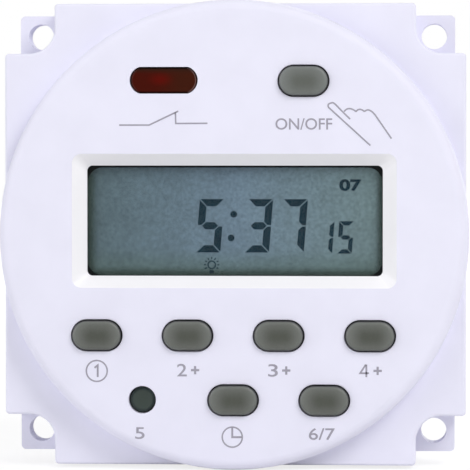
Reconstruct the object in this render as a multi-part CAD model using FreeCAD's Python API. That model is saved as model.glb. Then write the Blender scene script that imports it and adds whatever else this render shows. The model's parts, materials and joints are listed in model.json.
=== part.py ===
import FreeCAD, Part
import math
import os

Vector = FreeCAD.Vector

# Axes: X to the right, Y from the front face to the back, Z up. y = 0 is the back of the four ears,
# and the origin is the centre of their hole pattern. All sizes are millimetres.

# Front plate and round face
plate_side = 59.2
plate_corner_radius = 0.5
plate_edge_radius = 0.35
plate_wall = 1.8
notch_depth = 6.4
notch_radius = 3.3
skirt_depth = 5.5
skirt_wall = 1.6
disc_diameter = 60.0
disc_rise = 3.5
disc_edge_radius = 1.3
disc_wall = 1.8
face_wall = 2.0
opening_edge_radius = 0.15

# Ears and rear box
ear_span = 56.4
ear_thickness = 4.0
ear_corner_radius = 0.6
hole_pitch = 51.0
hole_diameter = 3.3
rear_side = 54.8
rear_wall = 1.8
rear_notch_gap = 3.3
rear_notch_radius = 3.0
rear_corner_radius = 0.8
rear_edge_radius = 0.8
back_wall = 2.0

# Display opening, window and liquid crystal cell
display_x = 0.1
display_z = 1.8
surround_width = 41.4
surround_height = 17.1
surround_radius = 1.2
aperture_width = 37.8
aperture_height = 14.1
aperture_radius = 0.7
slope_depth = 1.6
window_width = 41.0
window_height = 19.4
window_thickness = 0.8
polariser_thickness = 0.2
glass_thickness = 0.7
rear_glass_height = 15.6
reflector_thickness = 0.2
film_inset = 0.2
zebra_width = 1.6
zebra_inset = 0.15
frame_wall = 0.8
frame_corner_radius = 0.8
frame_clearance = 0.1

# Indicator: upper_row_gap is from the lens's flange to the wall of the round face
indicator_x = -8.85
upper_row_gap = 1.95
lens_width = 8.7
lens_height = 3.4
lens_bulge = 1.25
lens_clearance = 0.08
lens_recess = 0.2
lens_edge_radius = 0.35
lens_flange = 0.8
lens_flange_radius = 1.0
lamp_radius = 1.5
lamp_body = 2.3
lamp_flange = 0.4
lamp_flange_height = 0.8

# Keys: grey rubber caps on collapsible webs, each with a carbon pill underneath
key_hole_width = 6.56
key_hole_height = 4.06
key_hole_chamfer = 0.06
key_clearance = 0.14
key_proud = 0.7
key_top_radius = 0.5
key_travel = 1.0
key_lip = 0.55
key_lip_thickness = 0.8
key_stop_gap = 0.1
reset_hole_diameter = 3.52
reset_recess = 0.8
web_wall = 0.3
web_spread = 0.7
pill_diameter = 2.4
reset_pill_diameter = 1.8
pill_thickness = 0.8
pill_stop_gap = 0.05
pad_diameter = 3.8
pad_split = 0.3
pad_thickness = 0.05

# Places of the keys: the first row hangs from the display's frame, and the end keys of both rows
# keep their gaps to the wall of the round face
manual_key_x = 8.95
manual_key_drop = 0.09
display_key_gap = 1.11
first_row_gap = 3.53
second_row_gap = 1.52

# Rubber sheets that carry the keys
mat_thickness = 1.0
mat_margin = 0.6
mat_gap = 0.4
mat_corner_radius = 1.2
manual_mat_margin = 1.2
mat_post_radius = 0.8
mat_post_gap = 0.4

# Circuit boards
board_thickness = 1.2
board_to_ears = 0.8
board_edge_gap = 0.8
board_corner_radius = 0.5
board_screw_radius = 0.75
board_screw_head_radius = 1.3
board_screw_head = 0.6
board_screw_length = 4.2
board_slot_width = 0.4
board_boss_radius = 1.5
board_boss_gap = 0.15
board_boss_z = 8.0
screw_play = 0.12
pilot_spare = 0.4
board_spacing = 4.3
power_board_thickness = 1.6
power_screw_radius = 0.95
power_screw_head_radius = 1.5
power_screw_head = 1.0
power_screw_length = 5.5
post_radius = 1.9
post_inset = 0.8
upper_post_z = 12.0

# Snap hooks, two on each side
hook_width = 5.0
hook_offset_z = 3.5
hook_thickness = 1.2
hook_gap = 0.3
hook_barb = 1.1
hook_catch_y = 2.0
hook_tip = 1.4
window_play = 0.2

# Terminal block in the back, with a cell for each push-on blade
blade_count = 4
blade_pitch = 10.5
blade_width = 6.3
blade_thickness = 0.8
blade_shoulder = 0.4
blade_post_gap = 0.1
blade_tip_gap = 0.5
blade_tip_chamfer = 0.24
blade_tail = 0.8
blade_slot_play = 0.12
blade_hole_radius = 0.8
blade_hole_from_tip = 4.0
bay_z = -14.5
bay_height = 12.0
bay_depth = 8.0
bay_corner_radius = 0.6
barrier_thickness = 1.6
block_floor = 1.5
block_wall = 1.5
block_flange = 1.0
block_corner_radius = 2.0
block_clearance = 0.1
block_room = 0.2

# Relay
relay_x = -7.5
relay_z = 5.0
relay_length = 19.0
relay_width = 15.2
relay_height = 15.3
relay_wall = 0.8
relay_corner_radius = 0.8
relay_edge_radius = 0.4
relay_fit = 0.1
relay_base_thickness = 1.6
relay_headroom = 0.6
leg_inset = 1.6
leg_to_coil = 0.3
contact_inset = 1.9
yoke_thickness = 1.0
yoke_width = 8.0
core_radius = 1.6
pole_radius = 2.6
pole_thickness = 0.6
bobbin_radius = 4.7
bobbin_flange = 0.8
winding_radius = 4.2
coil_height = 8.5
coil_play = 0.05
core_play = 0.15
armature_thickness = 0.8
armature_width = 6.8
armature_gap = 0.4
armature_swing_degrees = 2.8
armature_tail = 1.0
armature_overlap = 1.2
leaf_thickness = 0.3
leaf_width = 2.4
leaf_start = 2.0
contact_radius = 0.9
contact_button = 0.5
contact_play = 0.03
strip_thickness = 0.4
strip_gap = 0.3
break_strip_gap = 1.2
pin_radius = 0.4
pin_length = 2.4
coil_pin_inset = 2.4
coil_pin_offset = 5.0
common_pin_step = 3.0
break_pin_offset = 4.8

# Parts on the back of the display board
blob_radius = 5.0
blob_height = 1.3
crystal_radius = 1.05
crystal_length = 6.2
crystal_x = 12.0
crystal_z = 6.0

# Other parts on the power board
film_capacitor_length = 18.0
film_capacitor_width = 8.5
film_capacitor_height = 14.0
film_capacitor_gap = 1.0
film_capacitor_corner_radius = 0.8
film_capacitor_edge_radius = 0.6
can_radius = 4.0
can_height = 11.5
can_edge_radius = 0.5
can_groove_height = 1.6
can_groove_radius = 0.45
can_groove_depth = 0.3
can_x = 9.5
can_z = 9.3
battery_radius = 5.6
battery_height = 5.4
battery_cap_rise = 0.6
battery_cap_inset = 1.2
battery_edge_radius = 0.4
battery_x = 11.5
battery_z = -1.3
varistor_radius = 3.5
varistor_thickness = 3.0
varistor_rise = 1.2
varistor_leg_offset = 2.0
varistor_gap = 1.4
diode_radius = 1.35
diode_length = 5.0
diode_lead_gap = 0.15
resistor_radius = 1.2
resistor_length = 5.6
middle_resistor_drop = 3.8
side_resistor_gap = 2.0
side_resistor_z = 4.0
lead_radius = 0.35
lead_overhang = 0.8
lead_standoff = 0.7
transistor_radius = 2.3
transistor_height = 4.3
transistor_flat = 0.8
transistor_rise_z = 4.6
transistor_leg_pitch = 1.2
transistor_leg_shift = 0.4
link_pin_count = 7
link_pin_pitch = 2.54
link_pin_side = 0.64
link_pin_tail = 0.5
link_body_width = 2.5
link_gap = 0.38
link_x = -9.0

# Label
label_width = 38.0
label_height = 17.0
label_thickness = 0.3
label_corner_radius = 0.8
label_z = 7.5
label_clearance = 0.2

# Stations along Y, worked out from the sizes above
ear_front_y = -ear_thickness
plate_front_y = ear_front_y - skirt_depth
face_y = plate_front_y - disc_rise
inner_face_y = face_y + face_wall
board_back_y = ear_front_y - board_to_ears
board_front_y = board_back_y - board_thickness
mat_front_y = board_front_y - mat_thickness
pill_back_y = board_front_y - pad_thickness - pill_stop_gap - key_travel
key_bottom_y = pill_back_y - pill_thickness
window_back_y = inner_face_y + window_thickness
glass_front_y = window_back_y + polariser_thickness
glass_back_y = glass_front_y + glass_thickness
rear_glass_back_y = glass_back_y + glass_thickness
power_front_y = board_back_y + board_spacing
power_back_y = power_front_y + power_board_thickness
tallest_part = max(relay_height, film_capacitor_height, can_height)
cavity_back_y = power_back_y + tallest_part + relay_headroom
back_y = cavity_back_y + back_wall
block_back_y = cavity_back_y
bay_floor_back_y = back_y - bay_depth
block_front_y = bay_floor_back_y - block_floor

# Half widths and corner places
disc_radius = disc_diameter / 2
disc_inner_radius = disc_radius - disc_wall
plate_half = plate_side / 2
hole_offset = hole_pitch / 2
rear_half = rear_side / 2
rear_inner_half = rear_half - rear_wall
rear_notch = hole_offset - rear_notch_gap
board_half = plate_half - skirt_wall - board_edge_gap
board_notch = plate_half - notch_depth - skirt_wall - board_edge_gap
hook_outer_x = rear_inner_half - hook_gap
hook_inner_x = hook_outer_x - hook_thickness
board_slot_x = hook_inner_x - hook_gap
board_slot_height = 2 * hook_offset_z + hook_width + 2 * hook_gap
boss_x = plate_half - skirt_wall - board_screw_head_radius - board_boss_gap
upper_post_x = rear_inner_half - post_radius - post_inset
outer_blade_x = (blade_count - 1) / 2 * blade_pitch
lower_post_x = outer_blade_x + blade_width / 2 + blade_shoulder + blade_post_gap + post_radius
frame_width = window_width + 2 * (frame_clearance + frame_wall)
frame_height = window_height + 2 * (frame_clearance + frame_wall)
frame_top_z = display_z + frame_height / 2
frame_bottom_z = display_z - frame_height / 2
link_z = max(relay_z + relay_width / 2, frame_top_z) + link_gap + link_pin_side / 2

# Places on the face that keep their gaps to the wall of the round face
key_end_x = (key_hole_width - key_hole_height) / 2
key_end_radius = key_hole_height / 2
web_reach = web_spread + web_wall
first_row_z = frame_bottom_z - display_key_gap - key_hole_height / 2 + key_clearance - web_reach
first_reach = disc_inner_radius - first_row_gap - key_end_radius
key_pitch = (math.sqrt(first_reach**2 - first_row_z**2) - key_end_x) / 1.5
second_reach = disc_inner_radius - second_row_gap - key_end_radius
second_row_z = -math.sqrt(second_reach**2 - (key_pitch + key_end_x) ** 2)
lens_corner_x = abs(indicator_x) + lens_width / 2 + lens_flange
lens_corner_reach = disc_inner_radius - upper_row_gap
lens_corner_z = math.sqrt(lens_corner_reach**2 - lens_corner_x**2)
indicator_z = lens_corner_z - lens_height / 2 - lens_flange
manual_key_z = indicator_z - manual_key_drop

# How far cutting tools run past the walls that they cut, and joined bosses run into them
overrun = 1.0
embed = 0.4

relay_contact_x = relay_x + relay_length / 2 - relay_wall - contact_inset


def key_list():
    """Name, x, z, hole width, hole height and front of each key."""
    proud_y = face_y - key_proud
    recessed_y = face_y + reset_recess
    keys = [("manual_key", manual_key_x, manual_key_z, key_hole_width, key_hole_height, proud_y)]
    for place, name in enumerate(("program_key", "day_key", "hour_key", "minute_key")):
        x = (place - 1.5) * key_pitch
        keys.append((name, x, first_row_z, key_hole_width, key_hole_height, proud_y))
    round_hole = reset_hole_diameter
    keys.append(("reset_key", -key_pitch, second_row_z, round_hole, round_hole, recessed_y))
    keys.append(("clock_key", 0.0, second_row_z, key_hole_width, key_hole_height, proud_y))
    keys.append(
        ("cancel_recall_key", key_pitch, second_row_z, key_hole_width, key_hole_height, proud_y)
    )
    return keys


# Geometry helpers


def rounded_outline(corners, y):
    """Closed wire in the plane at y through (x, z, radius) corners."""
    count = len(corners)
    points = [Vector(x, y, z) for x, z, _ in corners]
    starts, middles, ends = [], [], []
    for i, (_, _, radius) in enumerate(corners):
        back = (points[i - 1] - points[i]).normalize()
        ahead = (points[(i + 1) % count] - points[i]).normalize()
        half_angle = back.getAngle(ahead) / 2
        reach = radius / math.tan(half_angle)
        bisector = (back + ahead).normalize()
        starts.append(points[i] + back * reach)
        ends.append(points[i] + ahead * reach)
        middles.append(points[i] + bisector * (radius / math.sin(half_angle) - radius))
    edges = []
    for i in range(count):
        if corners[i][2] > 0:
            edges.append(Part.Arc(starts[i], middles[i], ends[i]).toShape())
        following = starts[(i + 1) % count]
        if (following - ends[i]).Length > 1e-6:
            edges.append(Part.makeLine(ends[i], following))
    return Part.Wire(edges)


def rectangle(x, z, width, height, radius):
    """Corners of a rectangle about (x, z), as (x, z, radius)."""
    turns = ((1, -1), (1, 1), (-1, 1), (-1, -1))
    return [(x + sx * width / 2, z + sz * height / 2, radius) for sx, sz in turns]


def notched(half, notch, inner_radius, outer_radius):
    """Corners of a square with a square notch at each corner, rounded inside by inner_radius."""
    quarter = [(half, notch, outer_radius), (notch, notch, inner_radius), (notch, half, outer_radius)]
    corners = []
    for _ in range(4):
        corners += quarter
        quarter = [(-z, x, radius) for x, z, radius in quarter]
    return corners


def prism(corners, y_front, y_back):
    face = Part.Face(rounded_outline(corners, y_front))
    return face.extrude(Vector(0, y_back - y_front, 0))


def slab(x, z, width, height, y_front, y_back, radius=0.0):
    """Block about (x, z) from y_front to y_back, with its four long edges rounded."""
    return prism(rectangle(x, z, width, height, radius), y_front, y_back)


def obround(x, z, width, height, y_front, y_back):
    return slab(x, z, width, height, y_front, y_back, min(width, height) / 2)


def taper(x, z, front_size, back_size, y_front, y_back, front_radius, back_radius):
    """Solid between two rounded rectangles of (width, height)."""
    front = rounded_outline(rectangle(x, z, *front_size, front_radius), y_front)
    back = rounded_outline(rectangle(x, z, *back_size, back_radius), y_back)
    return Part.makeLoft([front, back], True, True)


def rod(x, z, radius, y_front, y_back):
    return Part.makeCylinder(radius, y_back - y_front, Vector(x, y_front, z), Vector(0, 1, 0))


def box(x0, x1, y0, y1, z0, z1):
    return Part.makeBox(x1 - x0, y1 - y0, z1 - z0, Vector(x0, y0, z0))


def fused(shapes):
    return shapes[0].multiFuse(shapes[1:]).removeSplitter()


def group(solids):
    return Part.makeCompound(solids)


def edges_at(shape, y):
    """Edges that lie in the plane at y."""
    tolerance = 1e-3
    found = []
    for edge in shape.Edges:
        bounds = edge.BoundBox
        if abs(bounds.YMin - y) < tolerance and abs(bounds.YMax - y) < tolerance:
            found.append(edge)
    return found


def corner_places(offset_x, offset_z):
    return [(sx * offset_x, sz * offset_z) for sx in (-1, 1) for sz in (-1, 1)]


# Housing


def lens_outline(width, height, y):
    """Flat top and bottom with bulging ends, about the indicator's centre."""
    flat = width / 2 - lens_bulge
    x, z = indicator_x, indicator_z
    edges = []
    for side in (1, -1):
        low = Vector(x + side * flat, y, z - side * height / 2)
        tip = Vector(x + side * width / 2, y, z)
        high = Vector(x + side * flat, y, z + side * height / 2)
        edges.append(Part.Arc(low, tip, high).toShape())
        edges.append(Part.makeLine(high, Vector(x - side * flat, y, z + side * height / 2)))
    return Part.Wire(edges)


def plate_corners(inset):
    notch = plate_half - notch_depth - inset
    return notched(plate_half - inset, notch, notch_radius + inset, max(plate_corner_radius - inset, 0.0))


def display_opening():
    sloped = taper(
        display_x,
        display_z,
        (surround_width, surround_height),
        (aperture_width, aperture_height),
        face_y,
        face_y + slope_depth,
        surround_radius,
        aperture_radius,
    )
    straight = slab(
        display_x,
        display_z,
        aperture_width,
        aperture_height,
        face_y + slope_depth,
        inner_face_y + overrun,
        aperture_radius,
    )
    return [sloped, straight]


def snap_hook(side, z):
    """Arm from the face to the rear box, with a barb that catches in the box's side window."""
    tip_y = hook_catch_y + hook_tip
    low, high = z - hook_width / 2, z + hook_width / 2
    x_inner, x_outer = side * hook_inner_x, side * hook_outer_x
    arm = box(min(x_inner, x_outer), max(x_inner, x_outer), inner_face_y - embed, tip_y, low, high)
    x_barb = side * (hook_outer_x + hook_barb)
    points = [
        Vector(x_outer, hook_catch_y, low),
        Vector(x_barb, hook_catch_y, low),
        Vector(x_outer, tip_y, low),
        Vector(x_outer, hook_catch_y, low),
    ]
    barb = Part.Face(Part.makePolygon(points)).extrude(Vector(0, 0, hook_width))
    return fused([arm, barb])


def mat_post_places():
    """Posts that press on the sheet beside the end keys of both rows."""
    key_width, key_height = key_size(key_hole_width, key_hole_height)
    around = web_reach + mat_post_gap + mat_post_radius
    x = key_pitch + key_width / 2 + around
    z = first_row_z - key_height / 2 - around
    return [(-x, z), (x, z)]


def hole_chamfer(x, z, width, height):
    """Tool that breaks the front edge of a key's hole; it starts as far outside the face."""
    wider = 4 * key_hole_chamfer
    front, back = (width + wider, height + wider), (width, height)
    front_y, back_y = face_y - key_hole_chamfer, face_y + key_hole_chamfer
    return taper(x, z, front, back, front_y, back_y, min(front) / 2, min(back) / 2)


def make_front_cover():
    plate = prism(plate_corners(0.0), plate_front_y, ear_front_y)
    plate = plate.makeFillet(plate_edge_radius, edges_at(plate, plate_front_y))
    disc = rod(0, 0, disc_radius, face_y, plate_front_y + embed)
    disc = disc.makeFillet(disc_edge_radius, edges_at(disc, face_y))
    outside = fused([plate, disc])
    shallow = prism(plate_corners(skirt_wall), plate_front_y + plate_wall, ear_front_y + overrun)
    deep = rod(0, 0, disc_inner_radius, inner_face_y, ear_front_y + overrun)
    deep = deep.common(prism(plate_corners(skirt_wall), inner_face_y, ear_front_y + overrun))
    shell = outside.cut(shallow.fuse(deep))
    bosses = [
        rod(x, z, board_boss_radius, inner_face_y - embed, board_front_y).common(outside)
        for x, z in corner_places(boss_x, board_boss_z)
    ]
    posts = [
        rod(x, z, mat_post_radius, inner_face_y - embed, mat_front_y) for x, z in mat_post_places()
    ]
    hooks = [snap_hook(side, z) for side in (-1, 1) for z in (-hook_offset_z, hook_offset_z)]
    cover = fused([shell] + bosses + posts + hooks)
    pilot_depth = board_screw_length - board_thickness + pilot_spare
    cover = cover.cut(display_opening())
    face_edges = edges_at(cover, face_y)
    rims = [edge for edge in face_edges if edge.BoundBox.DiagonalLength < disc_diameter]
    cover = cover.makeFillet(opening_edge_radius, rims)
    cuts = [
        rod(x, z, board_screw_radius + screw_play, board_front_y - pilot_depth, board_front_y)
        for x, z in corner_places(boss_x, board_boss_z)
    ]
    for _, x, z, width, height, _ in key_list():
        cuts.append(obround(x, z, width, height, face_y - overrun, inner_face_y + overrun))
        cuts.append(hole_chamfer(x, z, width, height))
    lens_hole = Part.Face(lens_outline(lens_width, lens_height, face_y - overrun))
    cuts.append(lens_hole.extrude(Vector(0, face_wall + 2 * overrun, 0)))
    return cover.cut(cuts)


def make_indicator_lens():
    play = 2 * lens_clearance
    front_y = face_y + lens_recess
    outline = lens_outline(lens_width - play, lens_height - play, front_y)
    body = Part.Face(outline).extrude(Vector(0, inner_face_y - front_y + embed, 0))
    body = body.makeFillet(lens_edge_radius, edges_at(body, front_y))
    flange_width = lens_width + 2 * lens_flange
    flange_height = lens_height + 2 * lens_flange
    back_y = inner_face_y + lens_flange
    flange = slab(
        indicator_x,
        indicator_z,
        flange_width,
        flange_height,
        inner_face_y,
        back_y,
        lens_flange_radius,
    )
    return fused([body, flange])


def lower_post_places():
    return [(-lower_post_x, bay_z), (lower_post_x, bay_z)]


def upper_post_places():
    return [(-upper_post_x, upper_post_z), (upper_post_x, upper_post_z)]


def blade_xs():
    return [(place - (blade_count - 1) / 2) * blade_pitch for place in range(blade_count)]


def housing_room(gap, y_front, y_back):
    """Space inside the rear box, smaller by gap all round."""
    notch = rear_notch - rear_wall - gap
    corners = notched(rear_inner_half - gap, notch, rear_notch_radius + rear_wall + gap, 0.0)
    return prism(corners, y_front, y_back)


def pilot_hole(x, z):
    pilot_end = power_front_y + power_screw_length + pilot_spare
    return rod(x, z, power_screw_radius + screw_play, power_back_y - overrun, pilot_end)


def block_neck(gap, y_front, y_back):
    """Part of the terminal block that shows in the back, or with a gap its opening."""
    width = 2 * outer_blade_x + cell_width() + 2 * (block_wall + gap)
    height = bay_height + 2 * (block_wall + gap)
    return slab(0, bay_z, width, height, y_front, y_back, block_corner_radius + gap)


def cell_width():
    return blade_pitch - barrier_thickness


def make_terminal_block():
    """Block with a cell for each blade, two posts for the power board and a flange all round."""
    body_width = 2 * (lower_post_x + post_radius)
    body_height = bay_height + 2 * (block_wall + block_flange)
    body = slab(0, bay_z, body_width, body_height, block_front_y, block_back_y)
    posts = [
        rod(x, z, post_radius, power_back_y, block_front_y + embed) for x, z in lower_post_places()
    ]
    inside = fused([body] + posts).common(housing_room(block_room, power_back_y, block_back_y))
    block = fused([inside, block_neck(0.0, block_back_y - embed, back_y)])
    cuts = [pilot_hole(x, z) for x, z in lower_post_places()]
    slot_width = blade_width + 2 * blade_slot_play
    slot_height = blade_thickness + 2 * blade_slot_play
    for x in blade_xs():
        cuts.append(
            slab(
                x,
                bay_z,
                cell_width(),
                bay_height,
                bay_floor_back_y,
                back_y + overrun,
                bay_corner_radius,
            )
        )
        cuts.append(slab(x, bay_z, slot_width, slot_height, block_front_y - overrun, back_y))
    return block.cut(cuts)


def make_rear_housing():
    flange = slab(0, 0, ear_span, ear_span, ear_front_y, 0.0, ear_corner_radius)
    outer = notched(rear_half, rear_notch, rear_notch_radius, rear_corner_radius)
    shell = prism(outer, 0.0, back_y)
    shell = shell.makeFillet(rear_edge_radius, edges_at(shell, back_y))
    tub = fused([flange, shell]).cut(housing_room(0.0, ear_front_y - overrun, cavity_back_y))
    solids = [tub]
    cuts = [block_neck(block_clearance, cavity_back_y - overrun, back_y + overrun)]
    for x, z in upper_post_places():
        solids.append(rod(x, z, post_radius, power_back_y, cavity_back_y + embed))
        cuts.append(pilot_hole(x, z))
    for x, z in corner_places(hole_offset, hole_offset):
        cuts.append(rod(x, z, hole_diameter / 2, ear_front_y - overrun, overrun))
    window_height_z = hook_width + 2 * window_play
    window_front = hook_catch_y - window_play
    window_back = hook_catch_y + hook_tip + window_play
    for z in (-hook_offset_z, hook_offset_z):
        for side in (-1, 1):
            x = side * (rear_half - rear_wall / 2)
            cuts.append(slab(x, z, rear_wall + overrun, window_height_z, window_front, window_back))
    recess_width = label_width + 2 * label_clearance
    recess_height = label_height + 2 * label_clearance
    recess_y = back_y - label_thickness
    recess_radius = label_corner_radius + label_clearance
    cuts.append(
        slab(0, label_z, recess_width, recess_height, recess_y, back_y + overrun, recess_radius)
    )
    return fused(solids).cut(cuts)


def make_rear_label():
    front_y = back_y - label_thickness
    return slab(0, label_z, label_width, label_height, front_y, back_y, label_corner_radius)


# Keys


def key_size(hole_width, hole_height):
    return hole_width - 2 * key_clearance, hole_height - 2 * key_clearance


def make_key(x, z, hole_width, hole_height, front_y):
    width, height = key_size(hole_width, hole_height)
    cap = obround(x, z, width, height, front_y, key_bottom_y)
    cap = cap.makeFillet(key_top_radius, edges_at(cap, front_y))
    lip_y = inner_face_y + key_stop_gap
    lip_width, lip_height = width + 2 * key_lip, height + 2 * key_lip
    lip = obround(x, z, lip_width, lip_height, lip_y, lip_y + key_lip_thickness)
    return fused([cap, lip])


def web_cone(x, z, width, height, inset):
    """Solid from the key's underside, widening to the hole's edge on the sheet."""
    top = (width - 2 * inset, height - 2 * inset)
    spread = 2 * web_reach
    foot = (top[0] + spread, top[1] + spread)
    return taper(x, z, top, foot, key_bottom_y, mat_front_y, min(top) / 2, min(foot) / 2)


def make_web(x, z, hole_width, hole_height):
    width, height = key_size(hole_width, hole_height)
    return web_cone(x, z, width, height, 0.0).cut(web_cone(x, z, width, height, web_wall))


def web_hole(x, z, hole_width, hole_height):
    """Opening in the sheet under one key, as wide as the web's inner foot."""
    width, height = key_size(hole_width, hole_height)
    wider = 2 * web_spread
    return obround(x, z, width + wider, height + wider, mat_front_y - overrun, board_front_y + overrun)


def make_pill(x, z, hole_width, hole_height):
    is_round = hole_width == hole_height
    diameter = reset_pill_diameter if is_round else pill_diameter
    return rod(x, z, diameter / 2, key_bottom_y, pill_back_y)


def mat_sheet(x, z, width, height):
    """Rubber sheet on the board, clear of the skirt and of the display's frame."""
    sheet = slab(x, z, width, height, mat_front_y, board_front_y, mat_corner_radius)
    room = prism(plate_corners(skirt_wall + mat_gap), mat_front_y, board_front_y)
    keep_out = slab(
        display_x,
        display_z,
        frame_width + 2 * mat_gap,
        frame_height + 2 * mat_gap,
        mat_front_y - overrun,
        board_front_y + overrun,
    )
    return sheet.common(room).cut(keep_out)


def make_keypad_mat():
    reach_x = 1.5 * key_pitch + key_hole_width / 2 + web_reach + mat_margin
    reach_z = key_hole_height / 2 + web_reach + mat_margin
    top, bottom = first_row_z + reach_z, second_row_z - reach_z
    sheet = mat_sheet(0, (top + bottom) / 2, 2 * reach_x, top - bottom)
    return sheet.cut([web_hole(*key[1:5]) for key in key_list()[1:]])


def make_manual_key_mat():
    reach = 2 * (web_reach + manual_mat_margin)
    sheet = mat_sheet(manual_key_x, manual_key_z, key_hole_width + reach, key_hole_height + reach)
    return sheet.cut(web_hole(*key_list()[0][1:5]))


def make_key_contacts():
    """Two half-round pads on the board under each key."""
    halves = []
    for _, x, z, _, _, _ in key_list():
        pad = rod(x, z, pad_diameter / 2, board_front_y - pad_thickness, board_front_y)
        low, high = board_front_y - overrun, board_front_y + overrun
        halves += pad.cut(slab(x, z, pad_split, 2 * pad_diameter, low, high)).Solids
    return group(halves)


# Display


def display_layer(width, height, y_front, y_back):
    return slab(display_x, display_z, width, height, y_front, y_back)


def make_lcd_frame():
    outer = slab(
        display_x,
        display_z,
        frame_width,
        frame_height,
        inner_face_y,
        board_front_y,
        frame_corner_radius,
    )
    inner_width = window_width + 2 * frame_clearance
    inner_height = window_height + 2 * frame_clearance
    inner = display_layer(
        inner_width, inner_height, inner_face_y - overrun, board_front_y + overrun
    )
    return outer.cut(inner)


def make_zebra_strips():
    """Two conductive rubber strips from the front glass's ledges to the board."""
    offset = window_height / 2 - zebra_inset - zebra_width / 2
    length = window_width - 2 * zebra_inset
    strips = []
    for side in (-1, 1):
        z = display_z + side * offset
        strips.append(slab(display_x, z, length, zebra_width, glass_back_y, board_front_y))
    return group(strips)


def display_parts():
    reflector_back_y = rear_glass_back_y + reflector_thickness
    film_height = rear_glass_height - 2 * film_inset
    return {
        "display_window": display_layer(window_width, window_height, inner_face_y, window_back_y),
        "lcd_polariser": display_layer(window_width, film_height, window_back_y, glass_front_y),
        "lcd_front_glass": display_layer(window_width, window_height, glass_front_y, glass_back_y),
        "lcd_rear_glass": display_layer(
            window_width, rear_glass_height, glass_back_y, rear_glass_back_y
        ),
        "lcd_reflector": display_layer(
            window_width, film_height, rear_glass_back_y, reflector_back_y
        ),
        "zebra_strips": make_zebra_strips(),
        "lcd_frame": make_lcd_frame(),
    }


# Display board


def link_pin_xs():
    middle = (link_pin_count - 1) / 2
    return [link_x + (place - middle) * link_pin_pitch for place in range(link_pin_count)]


def board_cuts(front_y, back_y):
    """Notches for the snap hooks and holes for the link pins."""
    low, high = front_y - overrun, back_y + overrun
    cuts = []
    for side in (-1, 1):
        x = side * (board_slot_x + plate_half / 2)
        cuts.append(slab(x, 0, plate_half, board_slot_height, low, high))
    side_of_hole = link_pin_side + 2 * screw_play
    for x in link_pin_xs():
        cuts.append(slab(x, link_z, side_of_hole, side_of_hole, low, high))
    return cuts


def make_display_board():
    """Board with a slot open to its edge at each screw."""
    corners = notched(board_half, board_notch, notch_radius, board_corner_radius)
    board = prism(corners, board_front_y, board_back_y)
    low, high = board_front_y - overrun, board_back_y + overrun
    cuts = board_cuts(board_front_y, board_back_y)
    radius = board_screw_radius + screw_play
    for x, z in corner_places(boss_x, board_boss_z):
        side = math.copysign(1, x)
        length = board_half - boss_x + overrun
        cuts.append(rod(x, z, radius, low, high))
        cuts.append(slab(x + side * length / 2, z, length, 2 * radius, low, high))
    return board.cut(cuts)


def make_controller_blob():
    """Flat dome of black resin over the controller chip."""
    sphere_radius = (blob_radius**2 + blob_height**2) / (2 * blob_height)
    centre = Vector(0, board_back_y + blob_height - sphere_radius, display_z)
    around = rod(0, display_z, 2 * blob_radius, board_back_y, board_back_y + 2 * blob_height)
    return Part.makeSphere(sphere_radius, centre).common(around)


def lying_part(x, z, radius, length, face_y_of_board, along):
    """Cylinder lying over a board, with a lead at each end down to the board."""
    axis_y = face_y_of_board + lead_standoff + radius
    lead_reach = length / 2 + lead_overhang
    start = Vector(x, axis_y, z) - along * (length / 2)
    body = Part.makeCylinder(radius, length, start, along)
    lead_start = Vector(x, axis_y, z) - along * lead_reach
    wire = Part.makeCylinder(lead_radius, 2 * lead_reach, lead_start, along)
    feet = []
    for side in (-1, 1):
        foot = Vector(x, 0, z) + along * (side * lead_reach)
        feet.append(rod(foot.x, foot.z, lead_radius, face_y_of_board, axis_y))
    return fused([body, wire] + feet)


def make_clock_crystal():
    along = Vector(1, 0, 0)
    return lying_part(crystal_x, crystal_z, crystal_radius, crystal_length, board_back_y, along)


def make_indicator_led():
    """Round lamp under the lens, with a domed tip and a base flange."""
    x, z = indicator_x, indicator_z
    tip_y = board_front_y - lamp_body
    stem = rod(x, z, lamp_radius, tip_y, board_front_y)
    dome = Part.makeSphere(lamp_radius, Vector(x, tip_y, z))
    flange_y = board_front_y - lamp_flange_height
    flange = rod(x, z, lamp_radius + lamp_flange, flange_y, board_front_y)
    return fused([stem, dome, flange])


def display_board_screw(x, z):
    """Screw driven towards the front into the cover's boss."""
    seat_y = board_back_y
    head_y = seat_y + board_screw_head
    shank = rod(x, z, board_screw_radius, seat_y - board_screw_length, seat_y + embed)
    head = rod(x, z, board_screw_head_radius, seat_y, head_y)
    slot_y = seat_y + board_screw_head / 2
    slot = slab(x, z, 2 * board_screw_head_radius, board_slot_width, slot_y, head_y + overrun)
    return fused([shank, head]).cut(slot)


# Power board


def relay_pin_places():
    """Coil pins, common pin and the two contact pins."""
    left = relay_x - relay_length / 2 + coil_pin_inset
    right = relay_contact_x
    return [
        (left, relay_z - coil_pin_offset),
        (left, relay_z + coil_pin_offset),
        (left + common_pin_step, relay_z),
        (right, relay_z),
        (right, relay_z + break_pin_offset),
    ]


def make_power_board():
    half = rear_inner_half - hook_gap
    notch = rear_notch - rear_wall - hook_gap
    corners = notched(half, notch, rear_notch_radius, board_corner_radius)
    board = prism(corners, power_front_y, power_back_y)
    low, high = power_front_y - overrun, power_back_y + overrun
    cuts = board_cuts(power_front_y, power_back_y)
    for x, z in upper_post_places() + lower_post_places():
        cuts.append(rod(x, z, power_screw_radius + screw_play, low, high))
    for x, z in relay_pin_places():
        cuts.append(rod(x, z, pin_radius + screw_play, low, high))
    for x in blade_xs():
        width = blade_width + 2 * blade_slot_play
        cuts.append(slab(x, bay_z, width, blade_thickness + 2 * blade_slot_play, low, high))
    return board.cut(cuts)


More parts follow.
